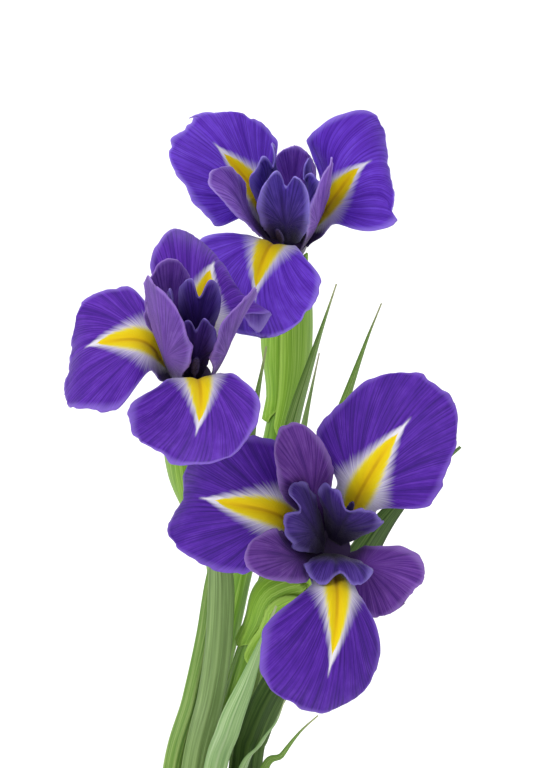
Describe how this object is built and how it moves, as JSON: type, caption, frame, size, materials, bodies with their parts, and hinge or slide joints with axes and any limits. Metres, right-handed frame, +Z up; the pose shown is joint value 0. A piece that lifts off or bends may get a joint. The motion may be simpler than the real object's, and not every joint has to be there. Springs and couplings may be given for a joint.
{
  "type": "irises in a vase",
  "caption": "Cut bulb irises with violet, yellow-marked petals and long narrow leaves, leaning together out of a plain round-bellied glazed ceramic vase.",
  "frame": {"origin": "centre of the vase's flat base, on the surface it stands on", "axes": "+Z up along the vase's axis; the flowers face -Y; +X is to the right of someone who looks along +Y at the flowers' faces"},
  "size_m": [0.1264, 0.199, 0.4303],
  "materials": {
    "vase_glaze": "gloss",
    "stem_green": "satin",
    "leaf_green": "satin",
    "bract_green": "satin",
    "fall_violet": "matte",
    "standard_mauve": "matte",
    "style_blue_violet": "matte",
    "stamen_cream": "matte"
  },
  "bodies": {
    "root": {"vase": "vase_glaze", "stem_top": "stem_green", "fall_top_1": "fall_violet", "standard_top_1": "standard_mauve", "style_top_1": "style_blue_violet", "stamen_top_1": "stamen_cream", "fall_top_2": "fall_violet", "standard_top_2": "standard_mauve", "style_top_2": "style_blue_violet", "stamen_top_2": "stamen_cream", "fall_top_3": "fall_violet", "standard_top_3": "standard_mauve", "style_top_3": "style_blue_violet", "stamen_top_3": "stamen_cream", "bract_top_1": "bract_green", "bract_top_2": "bract_green", "stem_left": "stem_green", "fall_left_1": "fall_violet", "standard_left_1": "standard_mauve", "style_left_1": "style_blue_violet", "stamen_left_1": "stamen_cream", "fall_left_2": "fall_violet", "standard_left_2": "standard_mauve", "style_left_2": "style_blue_violet", "stamen_left_2": "stamen_cream", "fall_left_3": "fall_violet", "standard_left_3": "standard_mauve", "style_left_3": "style_blue_violet", "stamen_left_3": "stamen_cream", "bract_left_1": "bract_green", "bract_left_2": "bract_green", "stem_front": "stem_green", "fall_front_1": "fall_violet", "standard_front_1": "standard_mauve", "style_front_1": "style_blue_violet", "stamen_front_1": "stamen_cream", "fall_front_2": "fall_violet", "standard_front_2": "standard_mauve", "style_front_2": "style_blue_violet", "stamen_front_2": "stamen_cream", "fall_front_3": "fall_violet", "standard_front_3": "standard_mauve", "style_front_3": "style_blue_violet", "stamen_front_3": "stamen_cream", "bract_front_1": "bract_green", "bract_front_2": "bract_green", "leaf_01": "leaf_green", "leaf_02": "leaf_green", "leaf_03": "leaf_green", "leaf_04": "leaf_green", "leaf_05": "leaf_green", "leaf_06": "leaf_green", "leaf_07": "leaf_green", "leaf_08": "leaf_green", "leaf_09": "leaf_green", "leaf_10": "leaf_green", "leaf_11": "leaf_green"}
  },
  "joints": []
}
